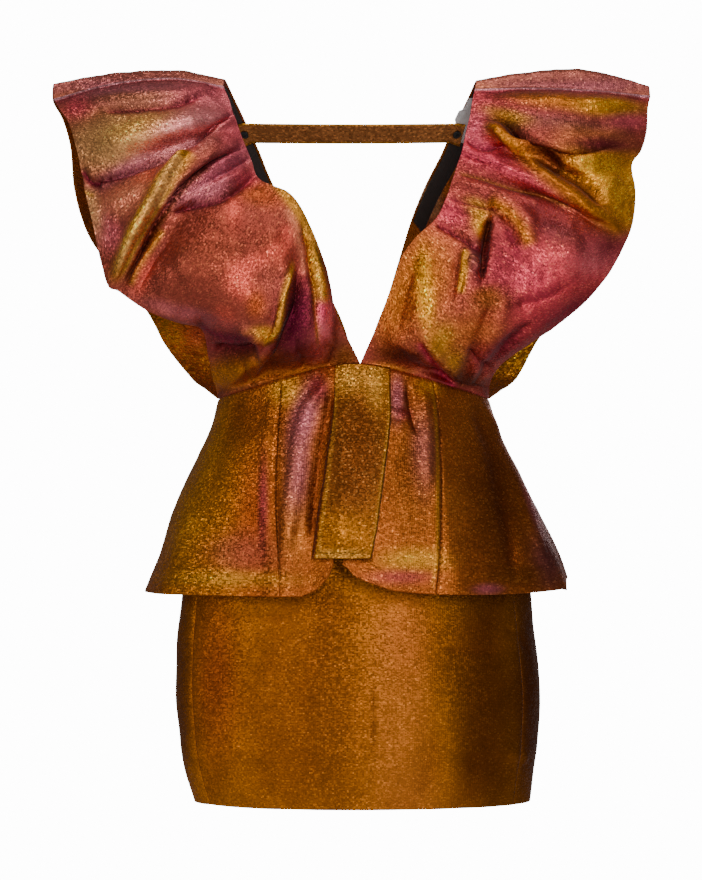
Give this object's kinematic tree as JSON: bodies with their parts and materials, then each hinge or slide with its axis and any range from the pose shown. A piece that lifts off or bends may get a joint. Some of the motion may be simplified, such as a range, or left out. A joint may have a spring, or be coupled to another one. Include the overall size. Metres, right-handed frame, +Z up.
{
  "type": "peplum dress",
  "caption": "Mini dress with a deep V neck front and back, pleated batwing sleeves, a flared peplum with a box-pleat flap and a straight skirt.",
  "frame": {"origin": "between the shoulders at the height where the dress rests on the wearer, midway front to back", "axes": "+Z up, -Y the wearer's front, +X the wearer's left side"},
  "size_m": [0.5987, 0.2996, 0.7322],
  "materials": {
    "lame": "shot lame, gold crossed with rose, metallic with fine glitter",
    "strap_lame": "bronze glitter lame",
    "black_tape": "matt ribbed tape",
    "snap": "black, slightly glossy",
    "label_cloth": "plain white satin, blank"
  },
  "bodies": {
    "root": {"bodice_front_left": "lame", "bodice_front_right": "lame", "bodice_back_left": "lame", "bodice_back_right": "lame", "peplum_front_left": "lame", "peplum_side_left": "lame", "peplum_back_left": "lame", "peplum_front_right": "lame", "peplum_side_right": "lame", "peplum_back_right": "lame", "peplum_flap": "lame", "skirt_front": "lame", "skirt_back_right": "lame", "skirt_back_left": "lame", "neck_tape_left": "black_tape", "neck_tape_right": "black_tape", "label": "label_cloth", "back_strap": "strap_lame", "snap_left": "snap", "snap_right": "snap"}
  },
  "joints": []
}
